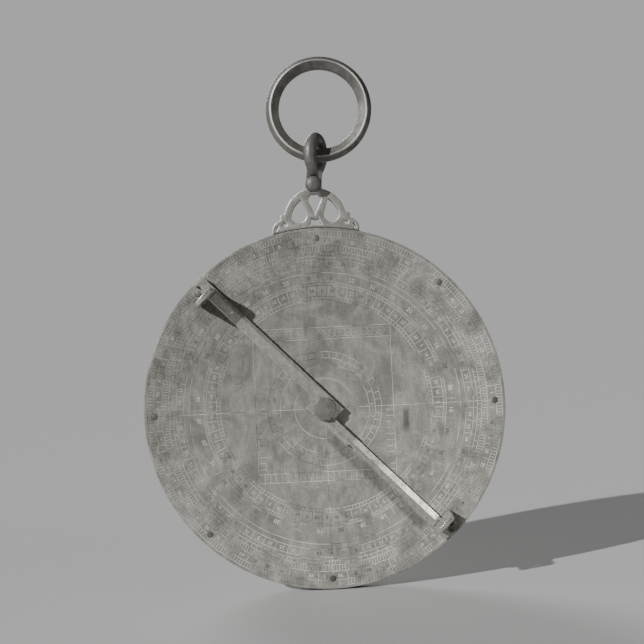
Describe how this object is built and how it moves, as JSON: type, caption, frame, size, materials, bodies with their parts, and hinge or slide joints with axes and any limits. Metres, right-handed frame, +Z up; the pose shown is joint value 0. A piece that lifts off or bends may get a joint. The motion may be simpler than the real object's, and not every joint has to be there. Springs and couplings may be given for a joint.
{
  "type": "astrolabe",
  "caption": "Planispheric astrolabe with pierced throne, shackle and ring, sighting alidade on its engraved back, and plates and a turning star map in front.",
  "frame": {"origin": "the highest point of the suspension ring's inside, in the middle of the instrument's thickness, which is where it hangs", "axes": "+Z up, along the hanging instrument; +Y out of the front, where the star map is; the back with its alidade faces -Y"},
  "size_m": [0.18, 0.035, 0.2661],
  "materials": {
    "worn brass": "aged, with stains and rubbed edges",
    "copper rivet": "hammered flush and darkened",
    "dark bronze": "dark, with polished ridges",
    "silver": "tarnished silver"
  },
  "bodies": {
    "ring": {"suspension_ring": "dark bronze"},
    "shackle": {"shackle": "dark bronze", "pivot_pin": "dark bronze"},
    "mater": {"back_plate": "worn brass", "limb_ring": "worn brass", "throne": "worn brass", "limb_rivet_1": "copper rivet", "limb_rivet_2": "copper rivet", "limb_rivet_3": "copper rivet", "limb_rivet_4": "copper rivet", "limb_rivet_5": "copper rivet", "limb_rivet_6": "copper rivet", "limb_rivet_7": "copper rivet", "limb_rivet_8": "copper rivet", "latitude_plate_1": "worn brass", "latitude_plate_2": "worn brass", "latitude_plate_3": "worn brass", "latitude_plate_4": "worn brass"},
    "rete": {"rete": "worn brass", "rete_knob_1": "silver", "rete_knob_2": "silver", "rete_knob_3": "silver", "rete_knob_4": "silver"},
    "alidade": {"alidade_bar": "worn brass", "sighting_vane_upper": "worn brass", "sighting_vane_lower": "worn brass"},
    "pin": {"pin": "worn brass", "washer": "worn brass"},
    "horse": {"horse_wedge": "worn brass"}
  },
  "joints": [
    {"name": "ring_swing", "type": "hinge", "parent": "ring", "child": "shackle", "pos_m": [-0.00263, 0, -0.0431], "axis": [0.9936, 0, -0.1132], "range_deg": [-85, 85]},
    {"name": "shackle_pivot", "type": "hinge", "parent": "shackle", "child": "mater", "pos_m": [-0.00432, 0, -0.05795], "axis": [0, 1, 0], "range_deg": [-65, 65]},
    {"name": "alidade_turn", "type": "hinge", "parent": "mater", "child": "alidade", "pos_m": [-0.00432, 0, -0.16955], "axis": [0, 1, 0], "continuous": true},
    {"name": "rete_turn", "type": "hinge", "parent": "mater", "child": "rete", "pos_m": [-0.00432, 0, -0.16955], "axis": [0, 1, 0], "continuous": true},
    {"name": "pin_turn", "type": "hinge", "parent": "mater", "child": "pin", "pos_m": [-0.00432, 0, -0.16955], "axis": [0, 1, 0], "continuous": true},
    {"name": "horse_slide", "type": "slide", "parent": "pin", "child": "horse", "axis": [1, 0, 0], "range_m": [0, 0.01]}
  ]
}
